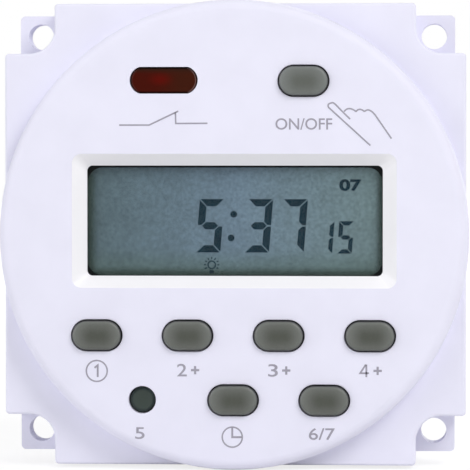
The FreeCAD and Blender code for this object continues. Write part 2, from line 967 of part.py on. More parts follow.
def power_board_screw(x, z):
    """Screw driven towards the back into a post."""
    seat_y = power_front_y
    head_y = seat_y - power_screw_head
    shank = rod(x, z, power_screw_radius, seat_y - embed, seat_y + power_screw_length)
    head = rod(x, z, power_screw_head_radius, head_y, seat_y)
    slot_y = seat_y - power_screw_head / 2
    slot = slab(x, z, 2 * power_screw_head_radius, board_slot_width, head_y - overrun, slot_y)
    return fused([shank, head]).cut(slot)


def make_board_screws():
    display_screws = [display_board_screw(x, z) for x, z in corner_places(boss_x, board_boss_z)]
    post_places = upper_post_places() + lower_post_places()
    return group(display_screws + [power_board_screw(x, z) for x, z in post_places])


def make_board_link_pins():
    """Insulating bar between the boards, with a row of pins through both."""
    length = link_pin_count * link_pin_pitch
    bar = slab(link_x, link_z, length, link_body_width, board_back_y, power_front_y)
    low, high = board_front_y - link_pin_tail, power_back_y + link_pin_tail
    pins = [slab(x, link_z, link_pin_side, link_pin_side, low, high) for x in link_pin_xs()]
    return fused([bar] + pins)


def make_film_capacitor():
    z = link_z + link_pin_side / 2 + film_capacitor_gap + film_capacitor_width / 2
    top_y = power_back_y + film_capacitor_height
    body = slab(
        0,
        z,
        film_capacitor_length,
        film_capacitor_width,
        power_back_y,
        top_y,
        film_capacitor_corner_radius,
    )
    return body.makeFillet(film_capacitor_edge_radius, edges_at(body, top_y))


def make_electrolytic_capacitor():
    """Standing can with a groove near its foot."""
    top_y = power_back_y + can_height
    can = rod(can_x, can_z, can_radius, power_back_y, top_y)
    can = can.makeFillet(can_edge_radius, edges_at(can, top_y))
    centre = Vector(can_x, power_back_y + can_groove_height, can_z)
    ring_radius = can_radius + can_groove_radius - can_groove_depth
    return can.cut(Part.makeTorus(ring_radius, can_groove_radius, centre, Vector(0, 1, 0)))


def make_varistor():
    """Disc on edge beside the can, with two legs to the board."""
    x = can_x + can_radius + varistor_gap + varistor_thickness / 2
    centre_y = power_back_y + varistor_rise + varistor_radius
    start = Vector(x - varistor_thickness / 2, centre_y, can_z)
    disc = Part.makeCylinder(varistor_radius, varistor_thickness, start, Vector(1, 0, 0))
    legs = [
        rod(x, can_z + side * varistor_leg_offset, lead_radius, power_back_y, centre_y)
        for side in (-1, 1)
    ]
    return fused([disc] + legs)


def make_backup_battery():
    """Button cell flat on the board, with a raised cap."""
    x, z = battery_x, battery_z
    top_y = power_back_y + battery_height
    rim_y = top_y - battery_cap_rise
    cell = rod(x, z, battery_radius, power_back_y, rim_y)
    cap = rod(x, z, battery_radius - battery_cap_inset, rim_y - embed, top_y)
    return fused([cell.makeFillet(battery_edge_radius, edges_at(cell, rim_y)), cap])


def make_rectifier_diodes():
    """Four diodes lying in pairs between the outer blades."""
    along = Vector(0, 0, 1)
    half_row = diode_length / 2 + lead_overhang + lead_radius + diode_lead_gap
    diodes = []
    for x in (-blade_pitch, blade_pitch):
        for z in (bay_z - half_row, bay_z + half_row):
            diodes.append(lying_part(x, z, diode_radius, diode_length, power_back_y, along))
    return group(diodes)


def make_resistors():
    """One resistor between the middle blades, one beside the relay."""
    along = Vector(0, 0, 1)
    side_x = relay_x - relay_length / 2 - side_resistor_gap - resistor_radius
    places = [(0.0, bay_z - middle_resistor_drop), (side_x, side_resistor_z)]
    return group(
        [lying_part(x, z, resistor_radius, resistor_length, power_back_y, along) for x, z in places]
    )


def make_switching_transistor():
    """Round body with a flat front, on three legs."""
    x, z = 0.0, bay_z + transistor_rise_z
    low_y = power_back_y + lead_standoff
    high_y = low_y + transistor_height
    body = rod(x, z, transistor_radius, low_y, high_y)
    side = 2 * transistor_radius
    flat_z = z - side + transistor_flat
    flat = slab(x, flat_z, 2 * side, side, low_y - overrun, high_y + overrun)
    leg_z = z + transistor_leg_shift
    legs = [
        rod(x + place * transistor_leg_pitch, leg_z, lead_radius, power_back_y, low_y + embed)
        for place in (-1, 0, 1)
    ]
    return fused([body.cut(flat)] + legs)


def make_terminal_blades():
    """Straight blades through the block's floor, each with a shoulder that bears on it."""
    tip_y = back_y - blade_tip_gap
    solids = []
    for x in blade_xs():
        blade = slab(x, bay_z, blade_width, blade_thickness, power_front_y - blade_tail, tip_y)
        long_edges = [edge for edge in edges_at(blade, tip_y) if edge.Length > blade_width / 2]
        blade = blade.makeChamfer(blade_tip_chamfer, long_edges)
        shoulder_width = blade_width + 2 * blade_shoulder
        shoulder = slab(x, bay_z, shoulder_width, blade_thickness, power_back_y, block_front_y)
        hole_start = Vector(x, tip_y - blade_hole_from_tip, bay_z - blade_thickness)
        hole = Part.makeCylinder(
            blade_hole_radius, 2 * blade_thickness, hole_start, Vector(0, 0, 1)
        )
        solids.append(fused([blade, shoulder]).cut(hole))
    return group(solids)


# Relay


def relay_base_back_y():
    return power_back_y + relay_base_thickness


def relay_leg_x():
    """Inner side of the yoke's upright leg, where the armature pivots."""
    return relay_x - relay_length / 2 + relay_wall + leg_inset + yoke_thickness


def coil_x():
    return relay_leg_x() + leg_to_coil + bobbin_radius


def pole_back_y():
    return relay_base_back_y() + yoke_thickness + coil_height + coil_play + pole_thickness


def pivot_y():
    return pole_back_y() + armature_gap - contact_play


def make_relay_cover():
    top_y = power_back_y + relay_height
    outer = slab(
        relay_x, relay_z, relay_length, relay_width, power_back_y, top_y, relay_corner_radius
    )
    inner_length = relay_length - 2 * relay_wall
    inner_width = relay_width - 2 * relay_wall
    inner = slab(
        relay_x, relay_z, inner_length, inner_width, power_back_y - overrun, top_y - relay_wall
    )
    return outer.makeFillet(relay_edge_radius, edges_at(outer, top_y)).cut(inner)


def make_relay_base():
    play = 2 * (relay_wall + relay_fit)
    length, width = relay_length - play, relay_width - play
    return slab(relay_x, relay_z, length, width, power_back_y, relay_base_back_y())


def make_relay_yoke():
    """Foot under the coil, upright leg beside it, and the core with its pole face."""
    base_y = relay_base_back_y()
    leg_x = relay_leg_x()
    low, high = relay_z - yoke_width / 2, relay_z + yoke_width / 2
    foot_back_y = base_y + yoke_thickness
    foot_end = coil_x() + bobbin_radius
    foot = box(leg_x - yoke_thickness, foot_end, base_y, foot_back_y, low, high)
    leg = box(leg_x - yoke_thickness, leg_x, base_y, pivot_y(), low, high)
    core = rod(coil_x(), relay_z, core_radius, foot_back_y - embed, pole_back_y())
    pole = rod(coil_x(), relay_z, pole_radius, pole_back_y() - pole_thickness, pole_back_y())
    return fused([foot, leg, core, pole])


def make_relay_coil():
    """Bobbin with its winding round the core."""
    x = coil_x()
    front_y = relay_base_back_y() + yoke_thickness
    back = front_y + coil_height
    flanges = [
        rod(x, relay_z, bobbin_radius, front_y, front_y + bobbin_flange),
        rod(x, relay_z, bobbin_radius, back - bobbin_flange, back),
    ]
    winding = rod(x, relay_z, winding_radius, front_y, back)
    bore = rod(x, relay_z, core_radius + core_play, front_y - overrun, back + overrun)
    return fused([winding] + flanges).cut(bore)


def moving_contact_back_y():
    return armature_front_y() + armature_thickness + leaf_thickness + contact_button / 2


def armature_front_y():
    return pole_back_y() + armature_gap


def make_relay_armature():
    """Iron plate over the pole, with a leaf that carries the moving contact."""
    front_y = armature_front_y()
    plate_back = front_y + armature_thickness
    plate_end = coil_x() + pole_radius + armature_overlap
    low, high = relay_z - armature_width / 2, relay_z + armature_width / 2
    plate = box(relay_leg_x() - armature_tail, plate_end, front_y, plate_back, low, high)
    leaf = box(
        coil_x() - leaf_start,
        relay_contact_x + contact_radius,
        plate_back,
        plate_back + leaf_thickness,
        relay_z - leaf_width / 2,
        relay_z + leaf_width / 2,
    )
    button = rod(
        relay_contact_x, relay_z, contact_radius, front_y - contact_play, moving_contact_back_y()
    )
    return fused([plate, leaf, button])


def contact_drop():
    """How far the moving contact comes down when the armature closes."""
    reach = relay_contact_x + contact_radius - relay_leg_x()
    return reach * math.sin(math.radians(armature_swing_degrees))


def make_relay_contacts():
    """Two fixed contacts on their strips, and the five pins under the base."""
    base_y = relay_base_back_y()
    x = relay_contact_x
    open_y = armature_front_y() - contact_play - contact_drop() - 2 * contact_play
    strip_x = x + contact_radius + strip_gap
    strip_end = strip_x + strip_thickness
    low, high = relay_z - leaf_width / 2, relay_z + leaf_width / 2
    shelf_back = open_y - contact_button
    shelf_front = shelf_back - strip_thickness
    make_strip = fused(
        [
            box(strip_x, strip_end, base_y, shelf_back, low, high),
            box(x - contact_radius, strip_end, shelf_front, shelf_back, low, high),
            rod(x, relay_z, contact_radius, shelf_front + strip_thickness / 2, open_y),
        ]
    )
    rest_y = moving_contact_back_y() + contact_play
    left, right = x - contact_radius, x + contact_radius
    arm_front = rest_y + contact_button / 2
    arm_back = arm_front + strip_thickness
    upright_low = relay_z + armature_width / 2 + break_strip_gap
    upright_high = upright_low + strip_thickness
    break_strip = fused(
        [
            box(left, right, base_y, arm_back, upright_low, upright_high),
            box(left, right, arm_front, arm_back, relay_z - contact_radius, upright_high),
            rod(x, relay_z, contact_radius, rest_y, arm_front + strip_thickness / 2),
        ]
    )
    pin_front_y = power_back_y - pin_length
    pins = [rod(px, pz, pin_radius, pin_front_y, power_back_y) for px, pz in relay_pin_places()]
    return group([make_strip, break_strip] + pins)


def all_parts():
    parts = {
        "front_cover": make_front_cover(),
        "indicator_lens": make_indicator_lens(),
        "rear_housing": make_rear_housing(),
        "rear_label": make_rear_label(),
        "terminal_block": make_terminal_block(),
        "keypad_mat": make_keypad_mat(),
        "manual_key_mat": make_manual_key_mat(),
        "key_contacts": make_key_contacts(),
        "display_board": make_display_board(),
        "controller_blob": make_controller_blob(),
        "clock_crystal": make_clock_crystal(),
        "indicator_led": make_indicator_led(),
        "power_board": make_power_board(),
        "board_screws": make_board_screws(),
        "board_link_pins": make_board_link_pins(),
        "film_capacitor": make_film_capacitor(),
        "electrolytic_capacitor": make_electrolytic_capacitor(),
        "varistor": make_varistor(),
        "backup_battery": make_backup_battery(),
        "rectifier_diodes": make_rectifier_diodes(),
        "resistors": make_resistors(),
        "switching_transistor": make_switching_transistor(),
        "terminal_blades": make_terminal_blades(),
        "relay_cover": make_relay_cover(),
        "relay_base": make_relay_base(),
        "relay_yoke": make_relay_yoke(),
        "relay_coil": make_relay_coil(),
        "relay_armature": make_relay_armature(),
        "relay_contacts": make_relay_contacts(),
    }
    parts.update(display_parts())
    for name, x, z, hole_width, hole_height, front_y in key_list():
        parts[name] = make_key(x, z, hole_width, hole_height, front_y)
        parts[name + "_web"] = make_web(x, z, hole_width, hole_height)
        parts[name + "_pill"] = make_pill(x, z, hole_width, hole_height)
    return parts


def main():
    os.makedirs("parts", exist_ok=True)
    for name, shape in all_parts().items():
        shape.exportStep(os.path.join("parts", name + ".step"))
        bounds = shape.BoundBox
        print(
            f"{name:26s} solids {len(shape.Solids):2d} valid {shape.isValid()} volume {shape.Volume:9.2f}"
            f" x {bounds.XMin:.2f} {bounds.XMax:.2f} y {bounds.YMin:.2f} {bounds.YMax:.2f}"
            f" z {bounds.ZMin:.2f} {bounds.ZMax:.2f}"
        )


main()
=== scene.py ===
import json
import math

import bmesh
import bpy
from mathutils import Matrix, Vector


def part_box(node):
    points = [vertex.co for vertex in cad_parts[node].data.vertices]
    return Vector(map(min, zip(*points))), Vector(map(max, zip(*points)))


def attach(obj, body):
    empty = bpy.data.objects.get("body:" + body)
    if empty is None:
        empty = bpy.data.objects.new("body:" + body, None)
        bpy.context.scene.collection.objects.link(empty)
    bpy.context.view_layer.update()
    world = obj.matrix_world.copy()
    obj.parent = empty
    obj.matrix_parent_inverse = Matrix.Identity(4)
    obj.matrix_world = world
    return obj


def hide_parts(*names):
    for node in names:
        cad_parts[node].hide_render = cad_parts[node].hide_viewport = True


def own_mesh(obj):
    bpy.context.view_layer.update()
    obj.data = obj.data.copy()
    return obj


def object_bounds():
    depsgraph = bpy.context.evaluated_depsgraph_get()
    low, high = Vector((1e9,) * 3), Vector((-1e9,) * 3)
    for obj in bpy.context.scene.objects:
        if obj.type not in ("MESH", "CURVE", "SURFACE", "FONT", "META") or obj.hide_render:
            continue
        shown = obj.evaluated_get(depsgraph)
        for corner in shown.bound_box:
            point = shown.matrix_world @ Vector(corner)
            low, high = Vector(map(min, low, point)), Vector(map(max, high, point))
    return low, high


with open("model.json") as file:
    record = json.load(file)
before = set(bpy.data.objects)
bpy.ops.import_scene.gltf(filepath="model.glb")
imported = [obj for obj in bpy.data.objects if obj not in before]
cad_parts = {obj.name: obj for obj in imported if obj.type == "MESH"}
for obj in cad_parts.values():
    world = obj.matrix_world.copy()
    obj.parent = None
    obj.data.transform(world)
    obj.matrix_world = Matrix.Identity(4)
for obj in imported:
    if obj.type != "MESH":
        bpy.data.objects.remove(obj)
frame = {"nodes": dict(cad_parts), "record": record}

cad_low, cad_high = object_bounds()

MM = 0.001
NODES = frame["nodes"]
SLOT_OF = {part["node"]: part["material_slot"] for part in frame["record"]["subparts"]}
KEYS = [node for node in NODES if node.endswith("_key")]


# Nodes of a material

def srgb(red, green, blue):
    """A colour written as 0 to 255, turned into Blender's linear values."""
    def linear(value):
        value /= 255
        return value / 12.92 if value <= 0.04045 else ((value + 0.055) / 1.055) ** 2.4

    return (linear(red), linear(green), linear(blue), 1.0)


class Maker:
    """A new material, with short calls for the nodes that its surfaces need."""

    def __init__(self, name):
        self.material = bpy.data.materials.new(name)
        self.material.use_nodes = True
        self.tree = self.material.node_tree
        self.shader = self.tree.nodes["Principled BSDF"]
        self.output = self.tree.nodes["Material Output"]
        self.place = self.add("ShaderNodeTexCoord")

    def add(self, kind, values=None, **settings):
        """A new node with its settings and the values or links of its sockets."""
        node = self.tree.nodes.new(kind)
        for key, value in settings.items():
            setattr(node, key, value)
        for key, value in (values or {}).items():
            self.put(node.inputs[key], value)
        return node

    def put(self, socket, value):
        """Link another node's output to the socket, or write a plain value there."""
        if isinstance(value, bpy.types.NodeSocket):
            self.tree.links.new(value, socket)
        else:
            socket.default_value = value

    def set(self, **sockets):
        """Fill in the shader's own sockets."""
        for key, value in sockets.items():
            self.put(self.shader.inputs[key.replace("_", " ")], value)

    def calc(self, kind, one, two=0.0, clamp=False):
        """The result of one Math node."""
        return self.add("ShaderNodeMath", {0: one, 1: two}, operation=kind, use_clamp=clamp).outputs[0]

    def far(self, one, two):
        """How far a point is from the centre of two axes."""
        square = self.calc("ADD", self.calc("POWER", one, 2.0), self.calc("POWER", two, 2.0))
        return self.calc("SQRT", square)

    def spread(self, value, low, high, to_low=0.0, to_high=1.0, kind="LINEAR"):
        """A value moved from one range to another and kept inside it."""
        values = {"Value": value, "From Min": low, "From Max": high, "To Min": to_low, "To Max": to_high}
        return self.add("ShaderNodeMapRange", values, interpolation_type=kind).outputs["Result"]

    def vary(self, noise, low, high):
        """A noise, which keeps mostly between 0.3 and 0.7, moved to the range from low to high."""
        return self.spread(noise, 0.3, 0.7, low, high)

    def noise(self, scale, detail=2.0, stretch=None):
        """A noise over the place in the object, drawn out along an axis whose stretch is small."""
        where = self.place.outputs["Object"]
        if stretch:
            where = self.add("ShaderNodeMapping", {"Vector": where, "Scale": stretch}).outputs[0]
        values = {"Vector": where, "Scale": scale, "Detail": detail}
        return self.add("ShaderNodeTexNoise", values).outputs["Fac"]

    def waves(self, scale, direction, distortion=0.0):
        """Even bands that follow each other along one axis."""
        values = {"Vector": self.place.outputs["Object"], "Scale": scale, "Distortion": distortion}
        return self.add("ShaderNodeTexWave", values, bands_direction=direction).outputs["Fac"]

    def mix(self, share, one, two, kind="MIX"):
        """Two colours mixed by a share."""
        node = self.add("ShaderNodeMix", data_type="RGBA", blend_type=kind)
        self.put(node.inputs[0], share)
        self.put(node.inputs[6], one)
        self.put(node.inputs[7], two)
        return node.outputs[2]

    def grey(self, value):
        """A grey colour from one value."""
        return self.add("ShaderNodeCombineColor", {0: value, 1: value, 2: value}).outputs[0]

    def blend(self, share, one, two):
        """Two shaders mixed by a share, as the look of the surface."""
        mixed = self.add("ShaderNodeMixShader", {0: share})
        self.put(mixed.inputs[1], one.outputs[0])
        self.put(mixed.inputs[2], two.outputs[0])
        self.put(self.output.inputs["Surface"], mixed.outputs[0])

    def axes(self, kind="Object"):
        """The three axes of the place in metres, or as a share of the box for Generated."""
        return self.add("ShaderNodeSeparateXYZ", {0: self.place.outputs[kind]}).outputs

    def relief(self, height, strength, depth):
        """Bumps whose depth is given in millimetres."""
        values = {"Height": height, "Strength": strength, "Distance": depth * MM}
        self.set(Normal=self.add("ShaderNodeBump", values).outputs[0])

    def drift(self, light, dark, patch):
        """A slow drift between two near colours."""
        return self.mix(self.spread(self.noise(patch, 3.0), 0.35, 0.65), light, dark)

    def grain(self, roughness, scale, depth, stretch=None):
        """Fine grain in gloss and relief. The noise itself is given back."""
        fine = self.noise(scale, 4.0, stretch)
        self.set(Roughness=self.vary(fine, *roughness))
        self.relief(fine, 0.5, depth)
        return fine


def solid(name, light, dark, patch, roughness, scale, depth, stretch=None, **sockets):
    """The usual finish: a slow drift of colour, with fine grain in gloss and relief."""
    maker = Maker(name)
    maker.set(Base_Color=maker.drift(light, dark, patch), **sockets)
    maker.grain(roughness, scale, depth, stretch)
    return maker.material


def clear(name, tint, gloss, share, dust):
    """A thin clear pane or film: it lets light through, with a weak reflection and faint dust."""
    maker = Maker(name)
    speck = maker.noise(dust, 4.0)
    maker.set(Base_Color=maker.mix(speck, srgb(250, 252, 252), srgb(214, 220, 222)), Metallic=1.0)
    maker.set(Roughness=maker.vary(speck, gloss, gloss + 0.06))
    maker.relief(maker.noise(120, 2.0), 0.2, 0.01)
    through = maker.add("ShaderNodeBsdfTransparent", {"Color": tint})
    maker.blend(maker.vary(speck, share, share * 1.3), through, maker.shader)
    return maker.material


# Materials of the inner and outer parts

WHITE_LIGHT, WHITE_DARK = srgb(237, 236, 251), srgb(234, 233, 248)
WHITE_PATCH = 160
WHITE_GLOSS = (0.5, 0.6)
WHITE_GRAIN = 2600
WHITE_RELIEF = 0.004
WHITE_SHINE = 0.35


def white_plastic(name):
    return solid(name, WHITE_LIGHT, WHITE_DARK, WHITE_PATCH, WHITE_GLOSS, WHITE_GRAIN, WHITE_RELIEF,
                 Specular_IOR_Level=WHITE_SHINE)


def cover_plastic(low, high, front, deep):
    """The white plastic of the cover, polished on the slopes round the display and painted paler there, as
    a painted reflection.
    """
    maker = Maker("cover_plastic")
    across, depth, up = maker.axes()
    inside = maker.calc("GREATER_THAN", depth, front)
    for kind, value, edge in (("GREATER_THAN", across, low.x), ("LESS_THAN", across, high.x),
                              ("GREATER_THAN", up, low.z), ("LESS_THAN", up, high.z),
                              ("LESS_THAN", depth, deep)):
        inside = maker.calc("MULTIPLY", inside, maker.calc(kind, value, edge))
    plain = maker.drift(WHITE_LIGHT, WHITE_DARK, WHITE_PATCH)
    # Painted reflection: the slopes round the display get a paler colour than the rest of the cover
    maker.set(Base_Color=maker.mix(inside, plain, srgb(251, 250, 253)), Specular_IOR_Level=WHITE_SHINE)
    fine = maker.noise(WHITE_GRAIN, 4.0)
    polish = maker.spread(inside, 0.0, 1.0, 1.0, 0.6)
    maker.set(Roughness=maker.calc("MULTIPLY", maker.vary(fine, *WHITE_GLOSS), polish))
    maker.relief(fine, 0.5, WHITE_RELIEF)
    return maker.material


def key_rubber(name, rim, middle, reach, shade_start):
    """Grey rubber, painted darker in the middle of a key and lighter towards its rim, as painted shade and
    a painted highlight.

    Reach is half the straight part of the dark middle, as a share of the key's width. The side of the key
    is painted dark where it is deeper than shade_start, as painted shade in the gap round it.
    """
    maker = Maker(name)
    fine = maker.grain((0.42, 0.55), 3500, 0.005)
    # Painted shade in the middle of the key and a painted highlight towards its rim
    across, _, up = maker.axes("Generated")
    side = maker.calc("ABSOLUTE", maker.calc("SUBTRACT", across, 0.51))
    side = maker.calc("MAXIMUM", maker.calc("SUBTRACT", side, reach), 0.0)
    rise = maker.calc("SUBTRACT", up, 0.48)
    share = maker.spread(maker.far(maker.calc("MULTIPLY", side, 1.5), rise), 0.0, 0.54, kind="SMOOTHSTEP")
    share = maker.calc("ADD", share, maker.vary(fine, -0.06, 0.06), clamp=True)
    top = maker.mix(share, middle, rim)
    # Painted shade on the side of the key, in the gap round it
    sunk = maker.spread(maker.axes()[1], shade_start, shade_start + 0.16 * MM)
    maker.set(Base_Color=maker.mix(sunk, top, srgb(18, 20, 18)))
    return maker.material


def zebra_rubber(name):
    """Rubber of thin dark and pale layers."""
    maker = Maker(name)
    maker.grain((0.6, 0.75), 5000, 0.004)
    layers = maker.spread(maker.waves(900.0, "X", 0.2), 0.4, 0.6)
    maker.set(Base_Color=maker.mix(layers, srgb(30, 30, 32), srgb(206, 200, 186)))
    return maker.material


def green_board(name):
    """Green lacquer over thin copper tracks, which run square to the board's edges."""
    maker = Maker(name)
    upright = {"Vector": maker.place.outputs["Object"], "Rotation": (math.pi / 2, 0, 0)}
    values = {"Vector": maker.add("ShaderNodeMapping", upright).outputs[0], "Scale": 60.0,
              "Mortar Size": 0.011, "Mortar Smooth": 0.3, "Brick Width": 1.3, "Row Height": 0.085}
    shifts = {"offset": 0.37, "offset_frequency": 3, "squash": 0.45, "squash_frequency": 5}
    tracks = maker.add("ShaderNodeTexBrick", values, **shifts).outputs["Fac"]
    lacquer = maker.drift(srgb(22, 84, 52), srgb(16, 70, 44), 300)
    maker.set(Base_Color=maker.mix(tracks, lacquer, srgb(44, 112, 66)), Coat_Weight=0.5)
    maker.set(Roughness=maker.vary(maker.noise(3000, 4.0), 0.3, 0.42))
    maker.relief(tracks, 0.6, 0.03)
    return maker.material


def wound_copper(name):
    """Turns of lacquered wire side by side."""
    maker = Maker(name)
    turns = maker.waves(1900.0, "Y", 0.4)
    maker.set(Base_Color=maker.mix(turns, srgb(120, 58, 30), srgb(214, 128, 78)), Metallic=0.85)
    maker.set(Roughness=maker.vary(maker.noise(900), 0.25, 0.4))
    maker.relief(turns, 0.8, 0.06)
    return maker.material


def sleeve(name):
    """Dark blue shrink sleeve with one pale stripe along the can."""
    maker = Maker(name)
    maker.grain((0.25, 0.35), 2500, 0.004)
    body, stripe = srgb(24, 34, 66), srgb(176, 182, 194)
    share = maker.spread(maker.axes("Generated")[0], 0.80, 0.82)
    wear = maker.spread(maker.noise(500), 0.35, 0.65, 0.0, 0.12)
    maker.set(Base_Color=maker.mix(share, maker.mix(wear, body, stripe), stripe), Coat_Weight=0.4)
    return maker.material


def banded_coating(name):
    """Beige coating with brown bands."""
    maker = Maker(name)
    maker.grain((0.4, 0.55), 3500, 0.006)
    bands = maker.spread(maker.waves(160.0, "Z"), 0.78, 0.82)
    maker.set(Base_Color=maker.mix(bands, srgb(206, 184, 142), srgb(112, 56, 36)))
    return maker.material


METAL = {"Metallic": 1.0}
ROLLED = (1.0, 1.0, 0.06)
DRAWN = (1.0, 0.1, 1.0)
BRUSHED = (0.05, 1.0, 1.0)

# A solid finish has two colours, the scale of its patches, its range of roughness, and the scale and
# depth of its grain
BUILDERS = {
    "white_plastic": white_plastic,
    "zebra_rubber": zebra_rubber,
    "green_board": green_board,
    "copper_winding": wound_copper,
    "capacitor_sleeve": sleeve,
    "resistor_coating": banded_coating,
    "window_clear": lambda name: clear(name, srgb(254, 255, 255), 0.03, 0.012, 500),
    "lcd_film": lambda name: clear(name, srgb(252, 254, 254), 0.15, 0.004, 800),
    "lcd_glass": lambda name: clear(name, srgb(253, 255, 254), 0.03, 0.003, 900),
    "red_lamp": lambda name: solid(
        name, srgb(210, 20, 16), srgb(180, 12, 10), 500, (0.08, 0.16), 1500, 0.003,
        Emission_Color=srgb(255, 30, 16), Emission_Strength=0.25, Coat_Weight=0.6),
    "label_film": lambda name: solid(
        name, srgb(196, 198, 202), srgb(188, 190, 195), 90, (0.28, 0.36), 4000, 0.002, BRUSHED,
        Metallic=0.55),
    "lcd_reflector": lambda name: solid(
        name, srgb(176, 182, 180), srgb(160, 166, 164), 300, (0.35, 0.5), 6000, 0.004, Metallic=0.8),
    "grey_rubber": lambda name: solid(
        name, srgb(122, 126, 122), srgb(108, 112, 108), 400, (0.5, 0.62), 3500, 0.006),
    "carbon_rubber": lambda name: solid(
        name, srgb(34, 34, 36), srgb(26, 26, 28), 700, (0.6, 0.75), 5000, 0.008),
    "gold_plate": lambda name: solid(
        name, srgb(222, 182, 98), srgb(208, 166, 84), 600, (0.22, 0.34), 4000, 0.002, **METAL),
    "black_resin": lambda name: solid(
        name, srgb(22, 22, 24), srgb(16, 16, 18), 300, (0.12, 0.22), 500, 0.04, Coat_Weight=0.3),
    "steel": lambda name: solid(
        name, srgb(196, 198, 202), srgb(176, 178, 182), 500, (0.22, 0.38), 4000, 0.003, **METAL),
    "black_plastic": lambda name: solid(
        name, srgb(38, 38, 40), srgb(30, 30, 32), 300, (0.4, 0.52), 3000, 0.006),
    "yellow_plastic": lambda name: solid(
        name, srgb(222, 178, 60), srgb(210, 164, 50), 250, (0.35, 0.48), 2500, 0.006),
    "blue_coating": lambda name: solid(
        name, srgb(44, 92, 160), srgb(34, 78, 146), 400, (0.2, 0.35), 900, 0.03, Coat_Weight=0.3),
    "battery_case": lambda name: solid(
        name, srgb(190, 190, 186), srgb(172, 172, 168), 500, (0.25, 0.4), 3500, 0.003, DRAWN, **METAL),
    "tinned_blade": lambda name: solid(
        name, srgb(214, 214, 210), srgb(200, 200, 196), 350, (0.26, 0.36), 2200, 0.001, DRAWN, **METAL),
    "relay_blue": lambda name: solid(
        name, srgb(36, 82, 150), srgb(30, 72, 138), 250, (0.28, 0.4), 2500, 0.005, Coat_Weight=0.2),
    "iron": lambda name: solid(
        name, srgb(172, 170, 163), srgb(156, 154, 148), 500, (0.3, 0.42), 2600, 0.002, ROLLED, **METAL),
    "contact_metal": lambda name: solid(
        name, srgb(206, 168, 104), srgb(190, 150, 88), 500, (0.24, 0.36), 3500, 0.003, **METAL),
}


def lens_material():
    """Dark red lens: browner on the right, with a painted glow in the middle as if lit from behind, painted
    shade in a dark rim round it, and a painted highlight along its polished edge.
    """
    maker = Maker("red_lens")
    fine = maker.grain((0.1, 0.2), 1800, 0.003)
    across, _, up = maker.axes("Generated")
    side = maker.calc("SUBTRACT", across, 0.46)
    rise = maker.calc("MULTIPLY", maker.calc("SUBTRACT", up, 0.52), 0.9)
    # Painted glow in the middle, as if lit from behind
    glow = maker.spread(maker.far(side, rise), 0.0, 0.2, 0.9, 0.0, "SMOOTHSTEP")
    body = maker.mix(maker.spread(across, 0.4, 0.7), srgb(68, 15, 5), srgb(62, 24, 11))
    body = maker.mix(maker.spread(up, 0.66, 0.78), body, srgb(50, 25, 16))
    body = maker.mix(glow, body, srgb(92, 11, 4))
    # Painted shade: a dark rim round the lens, in the gap round it
    left = maker.spread(across, 0.08, 0.108)
    right = maker.spread(across, 0.92, 0.892)
    low = maker.spread(up, 0.17, 0.235)
    high = maker.spread(up, 0.83, 0.765)
    inside = maker.calc("MULTIPLY", maker.calc("MULTIPLY", left, right), maker.calc("MULTIPLY", low, high))
    inside = maker.calc("ADD", inside, maker.vary(fine, -0.04, 0.04), clamp=True)
    colour = maker.mix(inside, srgb(16, 6, 5), body)
    # Painted highlight along the lens's edge, where its surface turns sideways
    facing = maker.add("ShaderNodeNewGeometry").outputs["Normal"]
    outward = maker.calc("ABSOLUTE", maker.add("ShaderNodeSeparateXYZ", {0: facing}).outputs[0])
    edge = maker.calc("MULTIPLY", maker.spread(outward, 0.15, 0.4), maker.spread(outward, 0.75, 0.5))
    edge = maker.calc("MULTIPLY", edge, maker.spread(across, 0.3, 0.7, 0.2, 0.8))
    maker.set(Base_Color=maker.mix(edge, colour, srgb(124, 96, 92)), Specular_IOR_Level=0.04)
    return maker.material


def panel_material(low, high):
    """Grey display ground: bluish on the left, greener on the right, mottled, and painted dark at three
    edges as painted shade from the recess.
    """
    left_shade, right_shade, bottom_shade = 1.5 * MM, 1.2 * MM, 1.4 * MM
    lower_start, lower_end = 4.0 * MM, 0.8 * MM
    maker = Maker("display_ground")
    across, _, up = maker.axes("Object")
    centre = (low.x + high.x) / 2
    cloud = maker.noise(260, 2.0)
    speckle = maker.noise(2600, 2.0)
    ground = maker.mix(maker.spread(across, low.x, centre), srgb(84, 102, 108), srgb(103, 123, 138))
    ground = maker.mix(maker.spread(across, centre, high.x), ground, srgb(106, 126, 128))
    lower = maker.spread(up, low.z + lower_start, low.z + lower_end, kind="SMOOTHSTEP")
    ground = maker.mix(maker.calc("MULTIPLY", lower, 0.7), ground, srgb(86, 106, 104))
    # Painted shade at the left, right and bottom edges
    left = maker.spread(across, low.x, low.x + left_shade, kind="SMOOTHSTEP")
    right = maker.spread(across, high.x, high.x - right_shade, kind="SMOOTHSTEP")
    bottom = maker.spread(up, low.z, low.z + bottom_shade, kind="SMOOTHSTEP")
    inside = maker.calc("MULTIPLY", maker.calc("MULTIPLY", left, right), bottom)
    colour = maker.mix(inside, srgb(52, 68, 62), ground)
    mottle = maker.calc("ADD", maker.vary(cloud, 0.94, 1.06), maker.vary(speckle, -0.16, 0.16))
    maker.set(Base_Color=maker.mix(1.0, colour, maker.grey(mottle), "MULTIPLY"), Specular_IOR_Level=0.1)
    maker.set(Roughness=maker.vary(speckle, 0.42, 0.58))
    maker.relief(speckle, 0.3, 0.004)
    return maker.material


def ink(name, light, dark):
    """Dull print, also used for the painted shadow round the window."""
    return solid(name, light, dark, 900, (0.45, 0.6), 5000, 0.002, Specular_IOR_Level=0.08)


# Outlines and flat pieces

def piece(name, mesh_maker, material, body="housing"):
    """A new object from the mesh maker, with its faces turned outward, which rides on a body."""
    bmesh.ops.recalc_face_normals(mesh_maker, faces=mesh_maker.faces)
    mesh = bpy.data.meshes.new(name)
    mesh_maker.to_mesh(mesh)
    mesh_maker.free()
    made = bpy.data.objects.new(name, mesh)
    bpy.context.scene.collection.objects.link(made)
    mesh.materials.append(material)
    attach(made, body)
    return made


